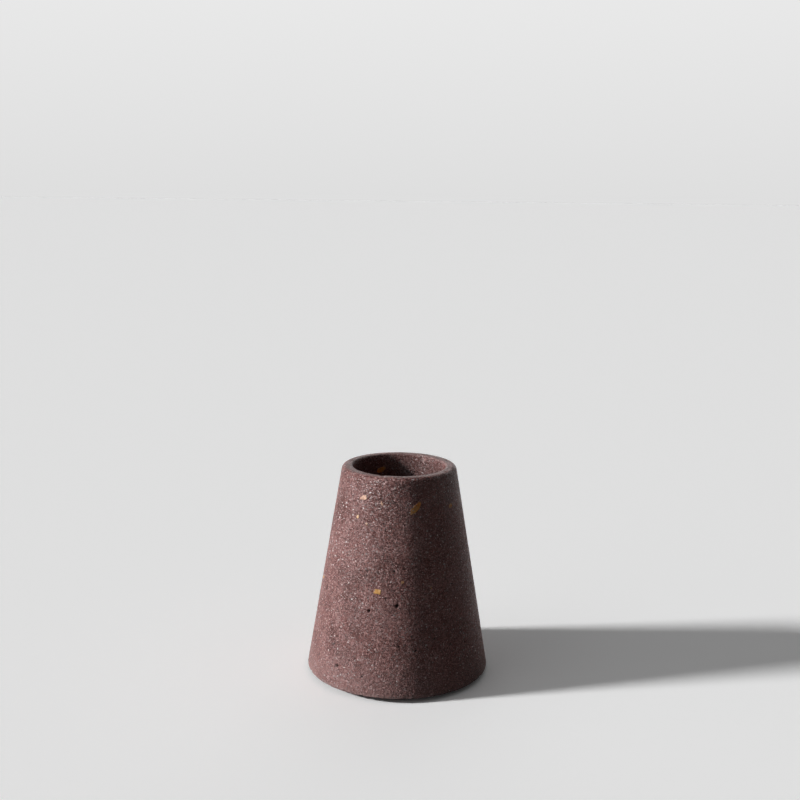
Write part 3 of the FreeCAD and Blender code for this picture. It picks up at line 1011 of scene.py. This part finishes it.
# %% [markdown]
# ## Light
# The holder is lit from the left, quite low, by one lamp of moderate size. An area lamp would light the
# paper unevenly, so it is a sun lamp here, and so are the others. A wide window beside it softens the
# edge of the shade. A faint glow comes from overhead and another off a pale wall behind, so that the
# shaded sides can still be read. The last lamp is a reflector card nearer the camera: matt colour takes
# no light from it, and only the gloss shows it, as a soft sheen between the lit side and the front.

# %% Set the light
LAMPS = {
    "key_lamp": {"bearing": -172.0, "elevation": 24.0, "level": 1.25, "spread": 7.0},
    "window_glow": {"bearing": -155.0, "elevation": 18.0, "level": 0.10, "spread": 60.0},
    "wall_glow": {"bearing": 86.0, "elevation": 16.0, "level": 0.13, "spread": 60.0},
    "top_glow": {"bearing": 0.0, "elevation": 90.0, "level": 0.03, "spread": 100.0},
    "sheen_lamp": {"bearing": -164.0, "elevation": 24.0, "level": 3.6, "spread": 28.0},
}
GLOSS_ONLY = ("sheen_lamp",)


def hang_lamp(name, bearing, elevation, level, spread):
    """A sun lamp that shines from that bearing and height, in degrees. A white surface that faces it
    squarely renders at `level`, and `spread` is how wide the lamp looks from the object."""
    lamp = bpy.data.lights.new(name, "SUN")
    lamp.energy = level * math.pi
    lamp.angle = math.radians(spread)
    hung = bpy.data.objects.new(name, lamp)
    turned = Matrix.Rotation(math.radians(90.0 + bearing), 4, "Z")
    hung.matrix_world = turned @ Matrix.Rotation(math.radians(90.0 - elevation), 4, "X")
    hung.visible_diffuse = name not in GLOSS_ONLY
    bpy.context.scene.collection.objects.link(hung)
    toward = -(hung.matrix_world.to_3x3() @ Vector((0.0, 0.0, -1.0)))
    print(name, "shines from", [round(value, 3) for value in toward])


for name, setting in LAMPS.items():
    hang_lamp(name, **setting)

# %% [markdown]
# ## The room
# Seen directly or mirrored, the room is as pale as the paper at the horizon and a little paler above
# it. A wall of faces could stand behind the paper, but the world has no edge and throws no shadow. As
# a light it gives off next to nothing, so that the lamps alone decide where the shade falls.

# %% Set the room
ROOM_FILL = 0.006
ROOM_HORIZON = 0.735
ROOM_ABOVE = 0.81
HORIZON_BAND = 0.16
world = bpy.data.worlds.new("pale_room")
world.use_nodes = True
bpy.context.scene.world = world
room = world.node_tree
room.nodes.clear()
direction = add_node(room, "TexCoord", {}).outputs["Generated"]
upward = add_node(room, "SeparateXYZ", {0: direction}).outputs["Z"]
pale = stretch(room, upward, 0.0, HORIZON_BAND, ROOM_HORIZON, ROOM_ABOVE)
level = add_node(room, "Mix", {0: seen_or_mirrored(room), 2: ROOM_FILL, 3: pale}).outputs[0]
backdrop = add_node(room, "Background", {"Color": (1.0, 1.0, 1.0, 1.0), "Strength": level})
add_node(room, "OutputWorld", {"Surface": backdrop.outputs[0]})
print(f"the room is at {ROOM_HORIZON} to {ROOM_ABOVE} and gives off {ROOM_FILL}")

# %% [markdown]
# ## The camera
# A camera could be set by eye, but a small error in its tilt shows at the rim. Its place, tilt and lens
# were worked out from the rim and the base instead, which are circles: their ellipses in the picture
# give the height of the eye, and their sizes give its distance.

# %% Place the camera
CAMERA_PLACE = (0.0, -0.380, 0.1683)
CAMERA_PITCH = math.radians(90.0 - 10.49)
CAMERA_ROLL = math.radians(0.63)
LENS_LENGTH_MM = 49.87
SENSOR_WIDTH_MM = 36.0
NEAREST_SEEN = 0.01
FARTHEST_SEEN = 100.0
eye = bpy.data.cameras.new("photo_camera")
eye.lens = LENS_LENGTH_MM
eye.sensor_width = SENSOR_WIDTH_MM
eye.clip_start = NEAREST_SEEN
eye.clip_end = FARTHEST_SEEN
camera = bpy.data.objects.new("photo_camera", eye)
camera.matrix_world = (
    Matrix.Translation(CAMERA_PLACE)
    @ Matrix.Rotation(CAMERA_PITCH, 4, "X")
    @ Matrix.Rotation(CAMERA_ROLL, 4, "Z")
)
bpy.context.scene.collection.objects.link(camera)
bpy.context.scene.camera = camera
bpy.context.scene.view_settings.view_transform = "Standard"
print("camera at", CAMERA_PLACE)
